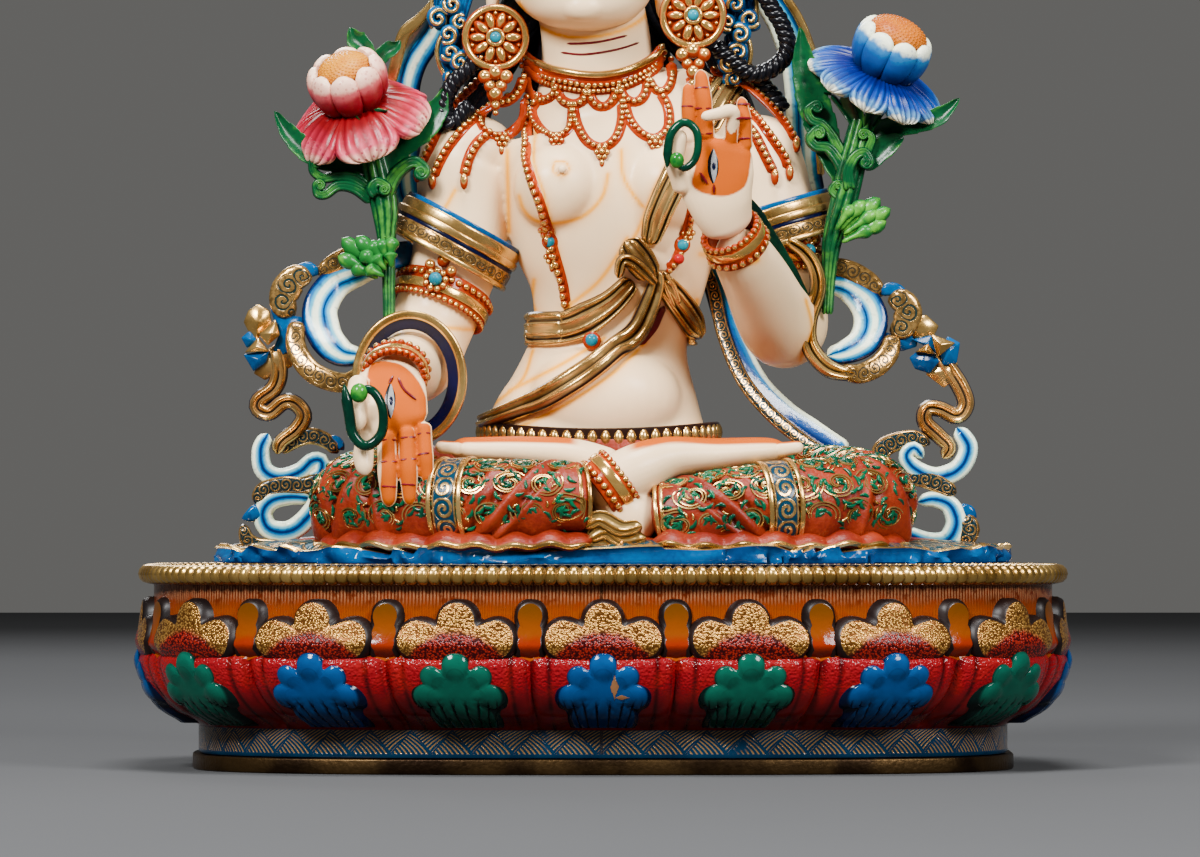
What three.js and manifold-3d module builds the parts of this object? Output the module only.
// Tara figure: a painted cast copper statue seated on a lotus pedestal, with scarves and two lotus flowers.
// Millimetres, +Z up. The figure faces -Y, and the origin is under the middle of the base plate.
import * as THREE from "three";
import { mergeVertices } from "three/addons/utils/BufferGeometryUtils.js";
import Module from "manifold-3d";

const wasm = await Module();
wasm.setup();

// Driving sizes of the pedestal
const RIM_HALF_WIDTH = 138.5;
const RIM_HALF_DEPTH = 86;
const PLAN_POWER = 3; // a superellipse: flat in front and behind, round at the ends
const PLATE_THICKNESS = 4.5;
const PLATE_INSET = 16;
const FOOT_BAND_INSET = 18.4;
const FOOT_BAND_HEIGHT = 8.5;
const PETAL_ZONE_HEIGHT = 29;
const NECK_HEIGHT = 12.5;
const NECK_INSET = 3.4;
const RIM_HEIGHT = 5.7;
const PETAL_COUNT = 18;
const VALLEY_DEPTH = 2.2; // of the crease between two petals
const TONGUE_PROUD = 2.2; // how far the leaf on each petal stands out
const TONGUE_HEIGHT = 20.6;
const LOBES_PROUD = 2.4; // how far the three gold lobes on each petal stand out
const LOBES_HEIGHT = 16.4;
const BUD_PROUD = 1.6; // the rounded tips that stand between the petals

// Driving sizes of the figure, and the gap that is left between two castings
const FIGURE_HEIGHT = 270;
const REFERENCE_HEIGHT = 270; // the stations below are written for a figure this tall
const CASTING_GAP = 0.35;

// Heights that follow
const FOOT_Z = PLATE_THICKNESS + CASTING_GAP;
const PETAL_Z = FOOT_Z + FOOT_BAND_HEIGHT;
const NECK_Z = PETAL_Z + PETAL_ZONE_HEIGHT;
const RIM_Z = NECK_Z + NECK_HEIGHT;
const SEAT_Z = RIM_Z + RIM_HEIGHT;
const FIGURE_Z = SEAT_Z + CASTING_GAP;
const K = FIGURE_HEIGHT / REFERENCE_HEIGHT;

const COLOURS = {
  brass: { color: 0xa8843f, roughness: 0.45, metalness: 0.8 },
  lacquer: { color: 0xb02018, roughness: 0.5, metalness: 0.0 },
  skin: { color: 0xe9dccb, roughness: 0.45, metalness: 0.0 },
  azure: { color: 0x1f6fb5, roughness: 0.5, metalness: 0.0 },
  leaf: { color: 0x2e8b3d, roughness: 0.5, metalness: 0.0 },
};

// A manifold solid from positions and triangle indices, turned to face outwards.
function solidFrom(positions, index) {
  const geometry = new THREE.BufferGeometry();
  geometry.setAttribute("position", new THREE.Float32BufferAttribute(positions, 3));
  geometry.setIndex(index);
  const merged = mergeVertices(geometry, 1e-4);
  const triangles = Array.from(merged.index.array);
  const vertProperties = merged.attributes.position.array;
  const make = (list) =>
    new wasm.Manifold(new wasm.Mesh({ numProp: 3, vertProperties, triVerts: new Uint32Array(list) }));
  const solid = make(triangles);
  if (solid.volume() > 0) return solid;
  const turned = [];
  for (let i = 0; i < triangles.length; i += 3) turned.push(triangles[i], triangles[i + 2], triangles[i + 1]);
  return make(turned);
}

// The geometry of a manifold solid.
function geometryOf(solid) {
  const mesh = solid.getMesh();
  const positions = new Float32Array(mesh.numVert * 3);
  for (let i = 0; i < mesh.numVert; i++) {
    positions.set(mesh.vertProperties.subarray(i * mesh.numProp, i * mesh.numProp + 3), i * 3);
  }
  const geometry = new THREE.BufferGeometry();
  geometry.setAttribute("position", new THREE.BufferAttribute(positions, 3));
  geometry.setIndex(new THREE.BufferAttribute(new Uint32Array(mesh.triVerts), 1));
  geometry.computeVertexNormals();
  return geometry;
}

function join(solids) {
  return solids.reduce((all, next) => all.add(next));
}

// A closed skin over rings that start at the same place, each with its own count of points, fanned at both ends.
function skinOver(rings) {
  const positions = [];
  const starts = rings.map((ring) => {
    const start = positions.length / 3;
    for (const p of ring) positions.push(p.x, p.y, p.z);
    return start;
  });
  const index = [];
  for (let r = 0; r + 1 < rings.length; r++) {
    const [low, high] = [rings[r].length, rings[r + 1].length];
    const lowAt = (i) => starts[r] + (i % low);
    const highAt = (j) => starts[r + 1] + (j % high);
    let [i, j] = [0, 0];
    while (i < low || j < high) {
      if (i < low && (i + 1) / low <= (j + 1) / high) {
        index.push(lowAt(i), lowAt(i + 1), highAt(j));
        i++;
      } else {
        index.push(lowAt(i), highAt(j + 1), highAt(j));
        j++;
      }
    }
  }
  for (const end of [0, rings.length - 1]) {
    const ring = rings[end];
    const centre = ring.reduce((sum, p) => sum.add(p), new THREE.Vector3()).divideScalar(ring.length);
    const hub = positions.length / 3;
    positions.push(centre.x, centre.y, centre.z);
    for (let j = 0; j < ring.length; j++) {
      const a = starts[end] + j;
      const b = starts[end] + ((j + 1) % ring.length);
      index.push(...(end ? [hub, a, b] : [hub, b, a]));
    }
  }
  return solidFrom(positions, index);
}

// The pedestal's plan, walked by arc length from the front centre towards +X.
function planWalk() {
  const samples = 1440;
  const shape = (v, reach) => reach * Math.sign(v) * Math.abs(v) ** (2 / PLAN_POWER);
  const points = [];
  for (let i = 0; i <= samples; i++) {
    const angle = (2 * Math.PI * i) / samples - Math.PI / 2;
    const across = shape(Math.cos(angle), RIM_HALF_WIDTH);
    points.push(new THREE.Vector2(across, shape(Math.sin(angle), RIM_HALF_DEPTH)));
  }
  const lengths = [0];
  for (let i = 1; i <= samples; i++) lengths.push(lengths[i - 1] + points[i].distanceTo(points[i - 1]));
  const pointAt = (share) => {
    const wanted = (((share % 1) + 1) % 1) * lengths[samples];
    let low = 0;
    let high = samples;
    while (high - low > 1) {
      const middle = (low + high) >> 1;
      if (lengths[middle] <= wanted) low = middle;
      else high = middle;
    }
    const part = (wanted - lengths[low]) / (lengths[high] - lengths[low]);
    return points[low].clone().lerp(points[high], part);
  };
  const nudge = 1 / 400;
  return (share) => {
    const along = pointAt(share + nudge).sub(pointAt(share - nudge)).normalize();
    return { point: pointAt(share), out: new THREE.Vector2(along.y, -along.x) };
  };
}

const planAt = planWalk();

// A point of the pedestal: share of the way round, height, and offset outwards from the rim's outline.
function onPedestal(share, z, offset) {
  const { point, out } = planAt(share);
  return new THREE.Vector3(point.x + out.x * offset, point.y + out.y * offset, z);
}

// A ring of the pedestal at one height and offset.
function plainRing(count, z, offset) {
  return Array.from({ length: count }, (_, i) => onPedestal(i / count, z, offset));
}

// The petals' profile: share of the petal zone's height, and offset from the rim's outline.
const PETAL_PROFILE = [
  [0.0, -17.2],
  [0.16, -9.8],
  [0.36, -4.0],
  [0.58, -1.2],
  [0.79, -1.0],
  [1.0, -2.4],
  [1.3, -3.0],
];

function petalOffset(z) {
  const share = (z - PETAL_Z) / PETAL_ZONE_HEIGHT;
  const found = PETAL_PROFILE.findIndex((row) => row[0] >= share);
  if (found <= 0) return PETAL_PROFILE.at(found)[1];
  const [low, high] = [PETAL_PROFILE[found - 1], PETAL_PROFILE[found]];
  return THREE.MathUtils.mapLinear(share, low[0], high[0], low[1], high[1]);
}

// Each petal has a crease, a shoulder, a notch and a middle, and they are mirrored: places in shares of a petal.
const PETAL_COLUMNS = [
  { at: 0, kind: "crease" },
  { at: 0.15, kind: "shoulder" },
  { at: 0.31, kind: "notch" },
  { at: 0.5, kind: "middle" },
  { at: 0.69, kind: "notch" },
  { at: 0.85, kind: "shoulder" },
];

// The rows of the carving, from the foot of the petals up: each column's height, and what it adds to the profile.
function petalRows() {
  const tongueFoot = PETAL_Z + 1;
  const tongueTop = tongueFoot + TONGUE_HEIGHT;
  const lobesTop = NECK_Z + NECK_HEIGHT * 0.68;
  const lobesFoot = lobesTop - LOBES_HEIGHT;
  const step = 0.7; // the height over which a carved edge stands out
  const row = (crease, shoulder, notch, middle) => ({ crease, shoulder, notch, middle });
  return [
    row([tongueFoot, 0], [tongueFoot, 0.4], [tongueFoot, TONGUE_PROUD], [tongueFoot, TONGUE_PROUD]),
    row(
      [tongueFoot + 8, -VALLEY_DEPTH],
      [tongueFoot + 8, 0.4],
      [tongueFoot + 8, TONGUE_PROUD],
      [tongueFoot + 8, TONGUE_PROUD * 0.8],
    ),
    row(
      [tongueTop - 5, -VALLEY_DEPTH],
      [tongueTop - 5, 0],
      [tongueTop - 4, TONGUE_PROUD],
      [tongueTop, TONGUE_PROUD],
    ),
    row([lobesFoot, -VALLEY_DEPTH], [lobesFoot + 1, 0], [lobesFoot, 0], [lobesFoot + 1, 0]),
    row(
      [lobesFoot + 1, BUD_PROUD],
      [lobesFoot + 1 + step, LOBES_PROUD],
      [lobesFoot + step, LOBES_PROUD],
      [lobesFoot + 1 + step, LOBES_PROUD],
    ),
    row(
      [lobesTop - 1.5, BUD_PROUD],
      [lobesTop - 5, LOBES_PROUD],
      [lobesTop - 5.6, LOBES_PROUD * 0.7],
      [lobesTop, LOBES_PROUD],
    ),
    row([lobesTop, 0], [lobesTop - 4.4, 0], [lobesTop - 4.8, 0], [lobesTop + step, 0]),
  ];
}

function pedestal() {
  const plain = PETAL_COUNT * 2;
  const carved = petalRows().map((row) => {
    const ring = [];
    for (let petal = 0; petal < PETAL_COUNT; petal++) {
      for (const { at, kind } of PETAL_COLUMNS) {
        const [z, proud] = row[kind];
        ring.push(onPedestal((petal + at - 0.5) / PETAL_COUNT, z, petalOffset(z) + proud));
      }
    }
    return ring;
  });
  const shifted = (z, offset) =>
    Array.from({ length: plain }, (_, i) => onPedestal((i / 2 - 0.5) / PETAL_COUNT, z, offset));
  return skinOver([
    shifted(FOOT_Z, -FOOT_BAND_INSET + 0.5),
    shifted(PETAL_Z, -FOOT_BAND_INSET),
    ...carved,
    shifted(RIM_Z - 1.2, -NECK_INSET),
    shifted(RIM_Z, -0.9),
    shifted(RIM_Z + RIM_HEIGHT * 0.5, 0),
    shifted(SEAT_Z, -1.6),
  ]);
}

function basePlate() {
  const count = PETAL_COUNT * 2;
  return skinOver([plainRing(count, 0, -PLATE_INSET), plainRing(count, PLATE_THICKNESS, -PLATE_INSET)]);
}

// A point of the figure's own frame, in millimetres on the reference height, as a point of the part.
function onFigure(x, y, z) {
  return new THREE.Vector3(x * K, y * K, FIGURE_Z + z * K);
}

// Where the rings of a limb go, in stations, and how far a band there swells it.
function ringPlaces(last, steps, bands) {
  const inBand = (t) => bands.some(([at, half]) => Math.abs(t - at) < half + 0.12);
  const places = [];
  for (let i = 0; i <= steps; i++) places.push([(i * last) / steps, 0]);
  const kept = places.filter(([t]) => !inBand(t));
  for (const [at, half, swell] of bands) {
    kept.push([at - half, 0], [at - half * 0.7, swell], [at + half * 0.7, swell], [at + half, 0]);
  }
  return kept.sort((a, b) => a[0] - b[0]);
}

// A limb through stations [x, y, z, half width, half depth], its width along the axis given, with bands
// [station, half length in stations, swell] that stand out round it. With 4 sides it is a flat strip.
function limb(stations, { sides = 8, across = [1, 0, 0], grow = 0, steps = 0, bands = [] } = {}) {
  const last = stations.length - 1;
  const path = new THREE.CatmullRomCurve3(stations.map((s) => new THREE.Vector3(s[0], s[1], s[2])));
  const radii = new THREE.CatmullRomCurve3(stations.map((s) => new THREE.Vector3(s[3], s[4] ?? s[3], 0)));
  const axis = new THREE.Vector3(...across);
  const [turn, stretch] = sides === 4 ? [0.5, Math.SQRT2] : [0, 1];
  const places = ringPlaces(last, steps || last, bands);
  const rings = places.map(([place, swell]) => {
    const centre = path.getPoint(place / last);
    const along = path.getTangent(place / last);
    const wide = axis.clone().addScaledVector(along, -axis.dot(along)).normalize();
    const deep = along.clone().cross(wide);
    const size = radii.getPoint(place / last);
    if (place === 0) centre.addScaledVector(along, -grow / K);
    if (place === last) centre.addScaledVector(along, grow / K);
    return Array.from({ length: sides }, (_, j) => {
      const angle = (2 * Math.PI * (j + turn)) / sides;
      const p = centre
        .clone()
        .addScaledVector(wide, Math.cos(angle) * stretch * (size.x + swell + grow / K))
        .addScaledVector(deep, Math.sin(angle) * stretch * (size.y + swell + grow / K));
      return onFigure(p.x, p.y, p.z);
    });
  });
  return skinOver(rings);
}

// A round or oval blob, as for a breast, a bun or a knot.
function blob([x, y, z], [rx, ry, rz], { sides = 8, rows = 5, grow = 0 } = {}) {
  const geometry = new THREE.SphereGeometry(1, sides, rows);
  geometry.rotateX(Math.PI / 2);
  geometry.scale(rx * K + grow, ry * K + grow, rz * K + grow);
  const centre = onFigure(x, y, z);
  geometry.translate(centre.x, centre.y, centre.z);
  geometry.deleteAttribute("normal");
  geometry.deleteAttribute("uv");
  const merged = mergeVertices(geometry, 1e-4);
  return solidFrom(Array.from(merged.attributes.position.array), Array.from(merged.index.array));
}

// A closed band round a limb: a ring about a centre, in the plane of two directions.
function band(centre, first, second, { tall = 2, thick = 1.5, count = 12, grow = 0 } = {}) {
  const a = new THREE.Vector3(...first);
  const b = new THREE.Vector3(...second);
  const axis = a.clone().cross(b).normalize();
  const [reach, rise] = [thick + grow / K, tall + grow / K];
  const corners = [
    [-reach, -rise],
    [reach, -rise],
    [reach, rise],
    [-reach, rise],
  ];
  const positions = [];
  const index = [];
  for (let i = 0; i < count; i++) {
    const angle = (2 * Math.PI * i) / count;
    const out = a.clone().multiplyScalar(Math.cos(angle)).addScaledVector(b, Math.sin(angle));
    const unit = out.clone().normalize();
    for (const [r, h] of corners) {
      const p = out.clone().addScaledVector(unit, r).addScaledVector(axis, h);
      const q = onFigure(centre[0] + p.x, centre[1] + p.y, centre[2] + p.z);
      positions.push(q.x, q.y, q.z);
    }
    for (let k = 0; k < 4; k++) {
      const next = (i + 1) % count;
      const [p0, p1] = [i * 4 + k, i * 4 + ((k + 1) % 4)];
      const [q0, q1] = [next * 4 + k, next * 4 + ((k + 1) % 4)];
      index.push(p0, p1, q1, p0, q1, q0);
    }
  }
  return solidFrom(positions, index);
}

// Stations of the body, in millimetres from the seat: x, y, z, half width, half depth
const TORSO = [
  [-0.5, 12, 3, 40, 30],
  [-0.8, 12, 18, 42, 30],
  [-1.2, 10, 38, 34.8, 25],
  [0.3, 9, 51.5, 28.6, 21],
  [1.8, 8, 65, 23.7, 17],
  [3, 7.5, 74, 24.1, 17],
  [4, 7.3, 84, 27, 18.5],
  [4, 7, 96, 31.5, 20],
  [4, 6.5, 110, 35.5, 20],
  [4, 7, 123, 40, 17.5],
  [3, 8, 133, 36, 14],
  [0, 8, 141, 24, 12.5],
  [-1.6, 6.5, 148, 17.5, 12.5],
  [-2.2, 5, 158, 16.4, 12.5],
  [-4, 3, 168, 16, 13],
];
const BELT = [2.0, 0.22, 2];
const WAIST_BAND = [4.5, 0.55, 1.6];
const COLLAR = [11.7, 0.3, 2];
const HEAD = [
  [-6.6, -7, 159.8, 5, 5],
  [-6.5, -4, 162.5, 14, 13],
  [-6.4, 0, 168, 20, 21],
  [-7, 3, 177, 24, 26.5],
  [-7.8, 5, 189, 25.5, 29],
  [-8.6, 6, 201, 25, 28.5],
  [-9.4, 7, 211, 22, 25],
  [-10, 8, 218, 16, 18],
  [-10.3, 8, 222, 6, 7],
];
const CROWN_BAND = [5.6, 0.35, 2.4];
const NOSE = [
  [-7.9, -20, 193, 1.6, 2],
  [-7.6, -24, 185, 2, 2.4],
  [-7.4, -26, 180, 3, 2.6],
  [-7.2, -22, 177.4, 2, 1.6],
];
const RIGHT_ARM = [
  [-34, 8, 129, 11, 12],
  [-41, 8, 121, 14.4, 14],
  [-42, 7.5, 108, 14, 13.6],
  [-43.8, 6, 94, 13.6, 13.4],
  [-47.5, 4, 82, 13.2, 13],
  [-52, 1, 70, 12.6, 12.6],
  [-55, -8, 61, 12, 12],
  [-57.5, -24, 57.5, 11, 11],
  [-59.5, -44, 56.5, 9.4, 9.2],
  [-60.8, -59, 56.5, 8.2, 7.4],
];
const LEFT_ARM = [
  [36, 8, 129, 11, 12],
  [45, 8, 121, 14.4, 14],
  [49.5, 7.5, 108, 14, 13.6],
  [52.5, 6, 95, 13.5, 13.4],
  [54, 2, 82, 13, 13],
  [54.6, -5, 70.5, 12.6, 12.4],
  [50.5, -18, 74, 11.6, 11.6],
  [45.5, -32, 83, 10.2, 10],
  [40.2, -43, 91.5, 8.8, 8.6],
  [38, -48, 96.5, 8.2, 7.4],
];
const ARMLET = [4.25, 0.22, 1.6];
const RIGHT_BRACELET = [8.7, 0.16, 1.6];
const LEFT_BRACELET = [8.5, 0.3, 1.6];
const RIGHT_LEG = [
  [-16, 6, 18, 17, 16],
  [-44, -8, 18, 17, 15],
  [-66, -26, 18, 16, 14.2],
  [-71, -42, 17.4, 14, 13.4],
  [-56, -57, 17.6, 12.6, 12.6],
  [-32, -65, 18.6, 12, 12.4],
  [-10, -66, 20, 10.5, 11],
  [2, -63, 22, 8, 8.4],
];
const LEFT_LEG = [
  [16, 6, 18, 17, 16],
  [48, -8, 18, 17, 15],
  [71, -26, 18, 16, 14.2],
  [77, -42, 17.4, 14, 13.4],
  [62, -55, 17.6, 12.6, 12.6],
  [40, -61, 16.4, 11.6, 11.6],
  [18, -62, 13.6, 9.6, 9],
  [4, -58, 11.6, 8, 7.4],
];
const RIGHT_TRIM = [4.35, 0.3, 0.9];
const LEFT_TRIM = [4.3, 0.3, 0.9];
const RIGHT_FOOT = [
  [-4, -63, 19, 7, 7.5],
  [8, -61, 26, 8, 8],
  [18, -56, 30.5, 8.4, 6.4],
  [32, -52, 31.6, 9, 5],
  [46, -49, 32.8, 8.4, 4],
  [56, -47, 33.4, 6, 3],
];
const ANKLET = [0.5, 0.2, 1.6];
const LEFT_FOOT = [
  [4, -44, 26, 7, 7],
  [-8, -44, 31, 8, 5.4],
  [-22, -44, 32.6, 8.4, 4.6],
  [-36, -44, 33.2, 7.6, 3.8],
  [-47, -44, 33.6, 5.4, 3],
];

// Hands: the palm's stations, fingers as base, joint, tip and radius, and the curl of stem that each holds
const RIGHT_HAND = {
  palm: [
    [-60.8, -57, 57, 6.4, 4],
    [-61.2, -64, 50, 9, 3.8],
    [-61.4, -66.5, 43, 10, 3.4],
    [-60.4, -67.5, 36.4, 9.4, 2.8],
  ],
  fingers: [
    [[-62.2, -68, 38], [-61.8, -70.5, 27], [-61.2, -71, 16.5], 2.8],
    [[-56.8, -68, 39], [-56.2, -70.5, 27.5], [-55.4, -71, 16.8], 2.5],
    [[-52.4, -67.5, 40], [-51.8, -69.8, 31], [-51.2, -70, 23], 2.2],
    [[-67.8, -67, 38], [-68.4, -69, 31], [-67.8, -71, 25.6], 2.9],
    [[-69.5, -64, 52], [-70.4, -70, 46], [-69.4, -72.5, 38.5], 3.1],
  ],
  curl: { centre: [-69.4, -71, 42.4], reach: [5.6, 8.6], radius: 1.5 },
};
const LEFT_HAND = {
  palm: [
    [37.8, -47.5, 96, 6.6, 4.2],
    [34.6, -52, 104, 9.2, 4],
    [32.8, -53.5, 113, 11.2, 3.6],
    [33.4, -54, 124, 10, 2.8],
  ],
  fingers: [
    [[25.2, -54, 122], [24.8, -54.6, 132], [24.6, -54, 140], 2.2],
    [[30.2, -54.2, 123], [29.2, -54.8, 135], [28.3, -54, 144], 2.7],
    [[37.2, -54.2, 122], [37.6, -58.5, 131.4], [28.4, -60.8, 129.6], 2.0],
    [[41.6, -53.6, 120], [41.2, -54.4, 129], [40.2, -53.8, 136], 2.1],
    [[23.4, -54, 108], [20.6, -58, 117], [22.9, -60.5, 126], 2.9],
  ],
  curl: { centre: [23.2, -58.5, 121], reach: [4.8, 7.4], radius: 1.3 },
};

function hand({ palm, fingers }, grow) {
  const parts = [limb(palm, { sides: 4, grow })];
  for (const [base, joint, tip, radius] of fingers) {
    const stations = [
      [...base, radius],
      [...joint, radius],
      [...tip, radius * 0.7],
    ];
    parts.push(limb(stations, { sides: 4, grow }));
  }
  return join(parts);
}

// The curl of lotus stem that each hand holds between thumb and finger.
function stemCurl({ centre: [x, y, z], reach: [rx, rz], radius }, grow) {
  const count = 7;
  const stations = Array.from({ length: count }, (_, i) => {
    const angle = THREE.MathUtils.degToRad(-140 + (i * 300) / (count - 1));
    return [x + rx * Math.cos(angle), y - 0.2 * i, z + rz * Math.sin(angle), radius];
  });
  return limb(stations, { sides: 4, across: [0, 1, 0], grow });
}

// The skirt: how far it reaches, its rows as height and inset, the wave of its hem and the lap of cloth on it
const SKIRT_REACH = { left: 117, right: 123, front: 80, back: 46 };
const SKIRT_ROWS = [
  [0, 0],
  [2.6, 0],
  [8, -20],
];
const SKIRT_WAVE = 1.6;
const LAP = { centre: [2, -28, 14], reach: [48, 30, 12.6] };
const BUST = { centres: [[-13.4, -9, 113], [19.4, -9, 113]], reach: [12.8, 11, 12.4] };

// The robe's skirt lies spread on the seat with a waved hem, and a lap of cloth fills the crossed legs.
function skirt(grow) {
  const count = 28;
  const { left, right, front, back } = SKIRT_REACH;
  const rings = SKIRT_ROWS.map(([z, inset]) =>
    Array.from({ length: count }, (_, i) => {
      const angle = (2 * Math.PI * i) / count;
      const [c, s] = [Math.cos(angle), Math.sin(angle)];
      const wave = inset === 0 ? SKIRT_WAVE * Math.cos((i * Math.PI) / 2) : 0;
      const reachX = (c > 0 ? right : left) + inset * 1.6 + wave + grow / K;
      const reachY = (s > 0 ? back : front) + inset * 0.6 + wave + grow / K;
      const [x, y] = [c, s].map((v) => Math.sign(v) * Math.abs(v) ** 0.8);
      return onFigure(x * reachX, y * reachY, z + (z > 0 ? grow / K : 0));
    }),
  );
  return join([skinOver(rings), blob(LAP.centre, LAP.reach, { sides: 6, rows: 4, grow })]);
}

// The shawl: from the left shoulder to a knot under the breast, and a tail across the belly to the right hip
const SHAWL_DOWN = [
  [20, -9, 142, 5.5, 2],
  [20, -16.5, 126, 5.5, 2],
  [17, -17, 110, 5.5, 2.2],
  [9, -15, 93, 6, 2.4],
  [2, -12, 79, 5, 2.2],
];
const SHAWL_TAIL = [
  [15, -14, 90, 4.2, 2],
  [13, -13.4, 78, 4.6, 2.6],
  [6, -13, 66, 4.8, 2.6],
  [-7, -15, 54, 4.8, 2.4],
  [-22, -12.6, 46, 4.8, 2.4],
  [-34, -4, 40, 4.6, 2.4],
];
const SHAWL_KNOT = { centre: [14.5, -16, 92], reach: [5.4, 4, 6.4] };

function shawl(grow) {
  return [
    limb(SHAWL_DOWN, { sides: 4, across: [0.9, 0, 0.5], grow }),
    limb(SHAWL_TAIL, { sides: 4, across: [0.5, 0, 0.9], grow }),
    blob(SHAWL_KNOT.centre, SHAWL_KNOT.reach, { sides: 6, rows: 4, grow }),
  ];
}

// The headdress. Stations here are [out from the middle, middle, y, z, half width, half depth] on paired pieces.
const EARRINGS = [
  [-31.2, -1, 153.5],
  [26, -1, 160.5],
];
const ROSETTE = { back: [4, 8], front: [-3, 6.6] }; // depth and radius of its two faces
const PENDANT = [
  [-15, 1, 1],
  [-10, 2.6, 2.2],
  [0, 2.2, 2],
];
const EAR = { foot: [3, 4, 3.2, 2.4], top: [8, 34, 4, 3], lean: [0.96, 0.78, -2.6] };
const CROWN = { centre: [-9, 6.5], foot: 205, radius: [24.5, 27.5], flare: [4.6, 3.4], deep: 2 };
const CROWN_LEAF = { tall: 33, wide: 7 };
const MIDDLE_LEAF = { tall: 40, wide: 8 };
const CROWN_ANGLES = [-72, -36, 0, 36, 72];
const BRAID = [
  [14, -4, 28, 176, 8, 5],
  [29, -1, 19, 154, 6, 4.4],
  [40, 1, 16, 134, 5, 5],
  [44, 2, 20, 106, 3.4, 4.4],
];
const BOW = [
  [23, -8, 8, 204, 3, 3],
  [37, -7, 7, 192, 6, 2.4],
  [40, -5, 6, 176, 6, 2.4],
  [35, -4, 4, 157, 2, 2],
];
const BUN = [
  [-10, 12, 212, 20, 20],
  [-10.6, 12, 230, 11, 11],
  [-11.2, 12, 243, 12.5, 12.5],
  [-11.6, 12, 254, 8.5, 8.5],
  [-12, 12, 260, 4.4, 4.4],
  [-12, 12, REFERENCE_HEIGHT, 0.6, 0.6],
];
const BACK_HAIR = [
  [-6, 24, 196, 23, 12],
  [-4, 27, 170, 21, 9],
  [0, 26, 140, 22, 5],
  [2, 27, 118, 18, 4],
  [3, 27, 98, 10, 3.4],
];

// An ear's rosette with its pendant, and the ear behind it.
function earring([x, y, z], grow) {
  const rosette = [ROSETTE.back, ROSETTE.front].map(([deep, radius]) => [x, y + deep, z, radius, radius]);
  const pendant = PENDANT.map(([height, wide, deep]) => [x, y, z + height, wide, deep]);
  const ear = [
    [x * EAR.lean[0], y + EAR.foot[0], z + EAR.foot[1], EAR.foot[2], EAR.foot[3]],
    [x * EAR.lean[1] + EAR.lean[2], y + EAR.top[0], z + EAR.top[1], EAR.top[2], EAR.top[3]],
  ];
  return [limb(rosette, { grow }), limb(pendant, { sides: 4, grow }), limb(ear, { sides: 4, grow })];
}

// One leaf of the crown, at an angle from the front.
function crownLeaf(degrees, { tall, wide }, grow) {
  const angle = THREE.MathUtils.degToRad(degrees);
  const [s, c] = [Math.sin(angle), Math.cos(angle)];
  const foot = [CROWN.centre[0] + CROWN.radius[0] * s, CROWN.centre[1] - CROWN.radius[1] * c, CROWN.foot];
  const lean = [CROWN.flare[0] * s, -CROWN.flare[1] * c, tall];
  const station = (share, spread, deep) => [...foot.map((v, i) => v + lean[i] * share), spread, deep];
  const stations = [
    station(0, wide, CROWN.deep),
    station(0.5, wide, CROWN.deep),
    station(1, wide * 0.08, CROWN.deep * 0.4),
  ];
  return limb(stations, { sides: 4, across: [c, s, 0], grow });
}

// Paired stations on one side of the head, -1 for its right and 1 for its left.
function onSide(stations, side) {
  return stations.map(([out, middle, ...rest]) => [side * out + middle, ...rest]);
}

function headdress(grow) {
  const sides = [-1, 1];
  return [
    ...EARRINGS.flatMap((place) => earring(place, grow)),
    ...CROWN_ANGLES.map((degrees) => crownLeaf(degrees, degrees === 0 ? MIDDLE_LEAF : CROWN_LEAF, grow)),
    limb(BUN, { sides: 7, grow }),
    limb(BACK_HAIR, { sides: 6, grow }),
    ...sides.map((side) => limb(onSide(BRAID, side), { sides: 4, grow })),
    ...sides.map((side) => limb(onSide(BOW, side), { sides: 4, grow })),
  ];
}

// The cast figure. Grown a little, it cuts its room in the pieces that lean on it.
function figure(grow) {
  const sideways = [0, 0, 1];
  const bust = BUST.centres.map((centre) => blob(centre, BUST.reach, { sides: 6, rows: 5, grow }));
  return join([
    limb(TORSO, { sides: 10, grow, bands: [BELT, WAIST_BAND, COLLAR] }),
    limb(HEAD, { sides: 8, grow, bands: [CROWN_BAND] }),
    limb(NOSE, { sides: 4, grow }),
    ...bust,
    limb(RIGHT_ARM, { sides: 6, grow, bands: [ARMLET, RIGHT_BRACELET] }),
    limb(LEFT_ARM, { sides: 6, grow, bands: [ARMLET, LEFT_BRACELET] }),
    limb(RIGHT_LEG, { sides: 6, across: sideways, grow, bands: [RIGHT_TRIM] }),
    limb(LEFT_LEG, { sides: 6, across: sideways, grow, bands: [LEFT_TRIM] }),
    limb(RIGHT_FOOT, { sides: 6, across: [0, 1, 0], grow, bands: [ANKLET] }),
    limb(LEFT_FOOT, { sides: 6, across: [0, 1, 0], grow }),
    hand(RIGHT_HAND, grow),
    hand(LEFT_HAND, grow),
    stemCurl(RIGHT_HAND.curl, grow),
    stemCurl(LEFT_HAND.curl, grow),
    skirt(grow),
    ...shawl(grow),
    ...headdress(grow),
  ]);
}

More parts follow.
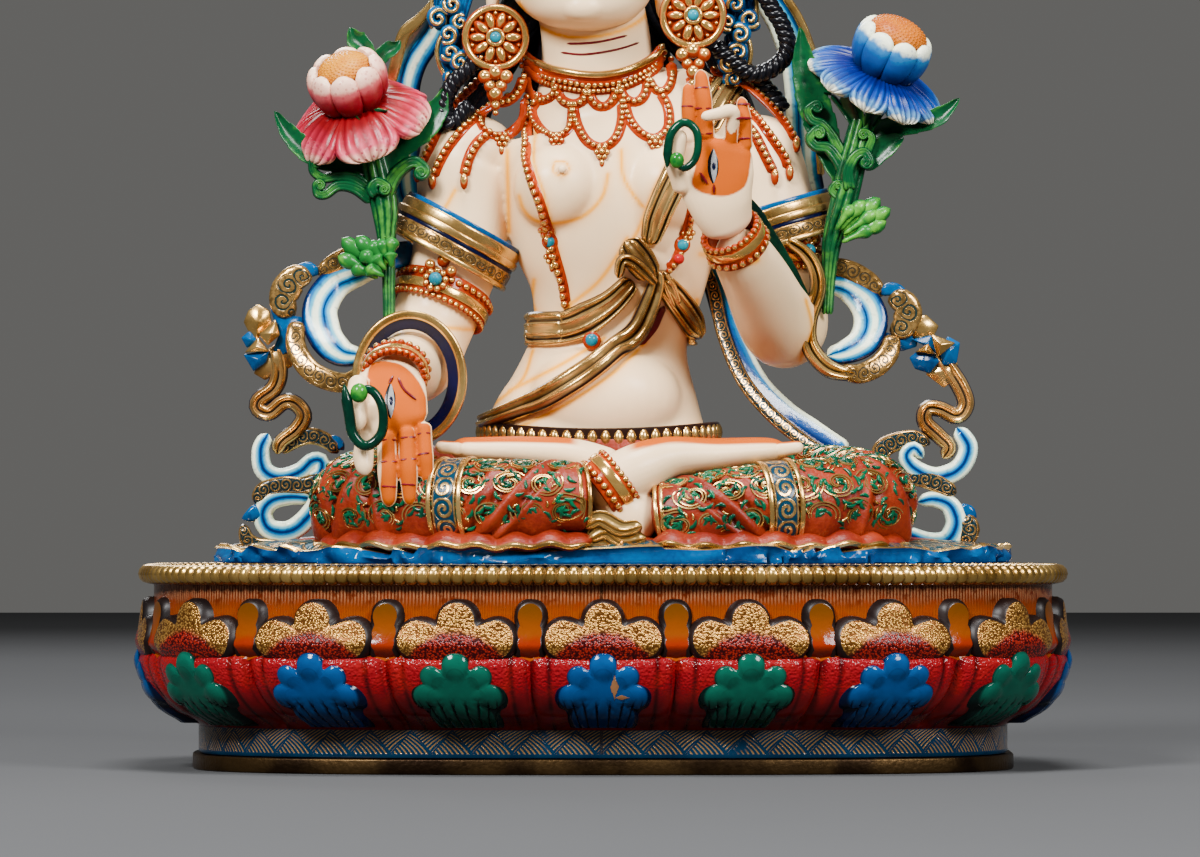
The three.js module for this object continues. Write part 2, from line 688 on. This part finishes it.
// Scarves: strips are stations [x, y, z, half width, half thickness], wide in the plane of the front.
const RIGHT_SCARF = {
  sleeve: { centre: [-44.4, 5.6, 97], first: [15.4, 0, -8.4], second: [0, 16.8, 0], tall: 5.4, thick: 2 },
  ring: { centre: [-57, -30, 53.4], first: [14.6, 0, 0], second: [0, 0, 17], tall: 4.4, thick: 2.2 },
  rise: [
    [-50, 21, 99.6, 4, 2.4],
    [-57, 24, 118, 5, 2.4],
    [-62, 24, 140, 4.8, 2.4],
    [-60, 18, 160, 4.4, 2.4],
    [-46, 8, 178, 4, 2.4],
  ],
  crescent: { centre: [-72.6, -10, 73.6], radius: 14, from: 62, to: 292, swing: -14, wide: 8 },
  link: [
    [-60, 6, 103, 4, 3],
    [-64, 1, 96, 4.4, 3],
    [-67, -9, 86.5, 4.6, 3],
  ],
  twist: [
    [-67, -24, 59.5, 3.4, 3.4],
    [-76, -22, 54, 3.6, 3.4],
    [-86, -17, 54.5, 3.6, 3.2],
    [-95, -10, 63, 3.6, 3],
  ],
  knot: { centre: [-99.6, -8, 67], reach: [7.6, 6, 8.6] },
  tail: [
    [-99, -8, 62, 3.6, 3.4],
    [-97.6, -9, 54, 3.4, 3.2],
    [-104, -10, 47, 3.4, 3.2],
    [-101, -11, 40, 3.4, 3.2],
    [-93, -11, 44, 3.4, 3.2],
    [-89, -11, 38.6, 3.4, 3.2],
    [-97, -12, 33, 3.4, 3.4],
    [-102.6, -12, 26.6, 3.6, 3.6],
    [-96, -12, 22, 3.6, 3.8],
    [-87.6, -12, 26.4, 3.4, 3.8],
    [-85.6, -12, 19, 3.4, 3.8],
    [-96, -12, 15.6, 3.4, 4],
    [-103.6, -12, 9.6, 3.6, 4],
    [-97, -12, 4.8, 3.2, 4],
    [-89, -12, 7, 3.2, 4],
    [-84.6, -12, 14, 3, 4],
  ],
};
const LEFT_SCARF = {
  sleeve: { centre: [52, 5.8, 101], first: [16.4, 0, 5], second: [0, 16.8, 0], tall: 5.4, thick: 2 },
  ring: null,
  rise: [
    [57.6, 21.4, 102.6, 4, 2.4],
    [64, 24, 118, 5, 2.4],
    [65, 24, 138, 4.8, 2.4],
    [56, 18, 161, 4.4, 2.4],
    [34, 8, 181, 4, 2.4],
  ],
  crescent: { centre: [70.4, -8, 71], radius: 12.4, from: 112, to: -112, swing: -12, wide: 7.6 },
  link: [
    [66, 4, 97, 3.4, 3],
    [67, 0, 90, 4, 3],
    [66.4, -8, 83, 4, 3],
  ],
  twist: [
    [60, -12, 98, 3, 3],
    [64, -18, 86, 3.2, 3.2],
    [62.4, -21, 72, 3.4, 3.4],
    [66, -20, 60.6, 3.6, 3.4],
    [77, -16, 55, 3.6, 3.2],
    [94, -9, 63, 3.4, 3],
  ],
  knot: { centre: [98.6, -8, 64.6], reach: [7.6, 6, 8.6] },
  tail: [
    [101, -8, 60, 3.6, 3.4],
    [105.4, -9, 52, 3.4, 3.2],
    [106.6, -10, 43.6, 3.4, 3.2],
    [101, -11, 40, 3.4, 3.2],
    [95.4, -11, 45, 3.4, 3.2],
    [90.4, -11, 40, 3.4, 3.2],
    [96, -12, 33.6, 3.4, 3.4],
    [104, -12, 30.6, 3.6, 3.6],
    [106, -12, 24.6, 3.6, 3.8],
    [98, -12, 22, 3.6, 3.8],
    [90.6, -12, 26, 3.4, 3.8],
    [88.6, -12, 19.6, 3.4, 3.8],
    [98, -12, 16.4, 3.4, 4],
    [106, -12, 11, 3.6, 4],
    [101, -12, 5.4, 3.2, 4],
    [92, -12, 6.4, 3.2, 4],
    [87.6, -12, 12, 3, 4],
  ],
};

// A strip as wide as its stations say in the plane of the front, and as thick as they say from front to back.
function strip(stations, grow, steps = 0) {
  const turned = stations.map(([x, y, z, wide, thick]) => [x, y, z, thick, wide]);
  return limb(turned, { sides: 4, across: [0, 1, 0], grow, steps });
}

// The broad arc of scarf beside each arm, fullest in its middle.
function crescent({ centre, radius, from, to, swing, wide }, grow) {
  const count = 7;
  const stations = Array.from({ length: count }, (_, i) => {
    const share = i / (count - 1);
    const angle = THREE.MathUtils.degToRad(from + (to - from) * share);
    const fullness = 0.5 + 0.5 * Math.sin(Math.PI * share);
    const [x, z] = [centre[0] + radius * Math.cos(angle), centre[2] + radius * Math.sin(angle)];
    return [x, centre[1] + swing * share ** 2, z, wide * fullness, 3];
  });
  return strip(stations, grow);
}

function scarf(shape, grow) {
  const { sleeve, ring, knot } = shape;
  const parts = [
    band(sleeve.centre, sleeve.first, sleeve.second, { ...sleeve, count: 10, grow }),
    strip(shape.rise, grow),
    strip(shape.link, grow),
    crescent(shape.crescent, grow),
    strip(shape.twist, grow),
    blob(knot.centre, knot.reach, { sides: 6, rows: 4, grow }),
    strip(shape.tail, grow),
  ];
  if (ring) parts.push(band(ring.centre, ring.first, ring.second, { ...ring, count: 12, grow }));
  return join(parts);
}

// The long ribbon that falls from behind the waist to the left knee.
const SIDE_RIBBON = [
  [27, 22, 92, 3, 2.2],
  [35, 17, 80, 4.4, 2.2],
  [41, 10, 64, 5.4, 2.2],
  [49.5, 2, 50, 5.8, 2.2],
  [61, -5, 39, 5.8, 2.2],
  [72, -12, 29, 5.4, 2.2],
];

// A lotus with its stalk, leaves and curled sprigs. The flower's axis leans, given as turns about x and y.
function lotus({ stalk, crown, lean, petals, leaves, sprigs }, grow) {
  const tilt = new THREE.Euler(...lean, 0);
  const ringAt = (count, height, radiusAt) =>
    Array.from({ length: count }, (_, i) => {
      const angle = (2 * Math.PI * i) / count;
      const radius = radiusAt(i);
      const p = new THREE.Vector3(radius * Math.cos(angle), radius * Math.sin(angle), height).applyEuler(tilt);
      return onFigure(crown[0] + p.x, crown[1] + p.y, crown[2] + p.z);
    });
  const cup = [
    [-9, 3],
    [-2, 9],
    [7, 10.6],
    [12.4, 4],
  ].map(([height, radius]) => ringAt(8, height, () => radius));
  const petalRows = [
    [-1, petals.reach * 0.42],
    [-petals.drop, petals.reach],
    [-petals.drop - 2.4, petals.reach * 0.8],
  ].map(([height, radius], row) => {
    const notch = row ? 0.78 : 1;
    return ringAt(petals.count * 2, height, (i) => radius * (i % 2 ? 1 : notch));
  });
  return join([
    limb(stalk, { sides: 6, grow }),
    skinOver(cup),
    skinOver(petalRows),
    ...[...leaves, ...sprigs].map((stations) => limb(stations, { sides: 4, grow })),
  ]);
}

const PINK_LOTUS = {
  stalk: [
    [-63.5, -14, 74.5, 2.4, 2.4],
    [-64.4, -12, 86, 2.6, 2.6],
    [-64.8, -10, 97, 3.6, 3.4],
    [-65.6, -8, 108, 4.8, 4.2],
    [-67, -7, 120, 4.4, 4],
    [-71, -7, 131, 4, 3.6],
  ],
  crown: [-75.5, -8, 139],
  lean: [0.72, -0.3],
  petals: { count: 6, reach: 20, drop: 8 },
  leaves: [
    [
      [-69, -6, 116, 2, 2],
      [-82, -7, 119, 2, 5],
      [-90, -8, 126, 2, 5],
      [-97, -8, 134.5, 0.6, 0.6],
    ],
    [
      [-66, -6, 116, 2, 2.4],
      [-56, -4, 122, 6, 2],
      [-51, -3, 131, 5, 1.8],
      [-47, -3, 143, 0.6, 0.6],
    ],
  ],
  sprigs: [
    [
      [-67, -8, 113, 2.4, 2],
      [-78, -9, 113.5, 2, 3.2],
      [-86, -9, 116.5, 1.6, 2],
    ],
    [
      [-65, -8, 112, 2.4, 2],
      [-57, -7, 116, 2.4, 3.4],
      [-53, -7, 119, 1.6, 2],
    ],
    [
      [-64, -11, 90, 2, 2],
      [-72, -14, 93, 3, 4],
      [-80, -15, 97, 1.4, 1.6],
    ],
  ],
};
const BLUE_LOTUS = {
  stalk: [
    [66.4, -14, 76, 1.8, 1.8],
    [66.8, -12, 84, 2.6, 2.6],
    [68.4, -10, 94, 3.6, 3.4],
    [71.6, -8, 105, 4.4, 4],
    [75, -7, 118, 4.6, 4.2],
    [79, -7, 131, 4.2, 3.8],
  ],
  crown: [84, -8, 144],
  lean: [0.32, 0.42],
  petals: { count: 8, reach: 19.5, drop: 5 },
  leaves: [
    [
      [73, -6, 112, 2.4, 2],
      [64.5, -6, 124, 6.4, 2],
      [60, -6, 138, 5, 1.8],
      [58.4, -6, 154, 0.6, 0.6],
    ],
    [
      [76, -6, 120, 2, 2.4],
      [88, -7, 124.5, 2, 5],
      [97, -8, 130, 1.8, 4],
      [107, -8, 135.5, 0.6, 0.6],
    ],
  ],
  sprigs: [
    [
      [73, -8, 114, 2.4, 2],
      [65, -8, 116, 2.4, 3.4],
      [61, -8, 120, 1.6, 2],
    ],
    [
      [76, -8, 118, 2.4, 2],
      [82, -8, 116, 2.4, 3.4],
      [86, -8, 111.6, 2, 2.2],
    ],
    [
      [69, -11, 92, 2, 2],
      [77, -13, 95.5, 2.6, 3.6],
      [85, -14, 98, 1.4, 1.6],
    ],
  ],
};

function nodeOf(name, solid, finish) {
  const mesh = new THREE.Mesh(geometryOf(solid), new THREE.MeshStandardMaterial(COLOURS[finish]));
  mesh.name = name;
  return mesh;
}

const tara = figure(0);
const taraRoom = figure(CASTING_GAP);
const rightScarf = scarf(RIGHT_SCARF, 0).subtract(taraRoom);
const leftScarf = scarf(LEFT_SCARF, 0).subtract(taraRoom);
const pinkRoom = taraRoom.add(scarf(RIGHT_SCARF, CASTING_GAP));
const blueRoom = taraRoom.add(scarf(LEFT_SCARF, CASTING_GAP));
const sideRibbon = strip(SIDE_RIBBON, 0, 8).subtract(blueRoom);

const statue = new THREE.Group();
statue.add(
  nodeOf("base_plate", basePlate(), "brass"),
  nodeOf("lotus_pedestal", pedestal(), "lacquer"),
  nodeOf("tara_figure", tara, "skin"),
  nodeOf("right_scarf", rightScarf, "azure"),
  nodeOf("left_scarf", leftScarf, "azure"),
  nodeOf("side_ribbon", sideRibbon, "azure"),
  nodeOf("pink_lotus", lotus(PINK_LOTUS, 0).subtract(pinkRoom), "leaf"),
  nodeOf("blue_lotus", lotus(BLUE_LOTUS, 0).subtract(blueRoom), "leaf"),
);

export default statue;
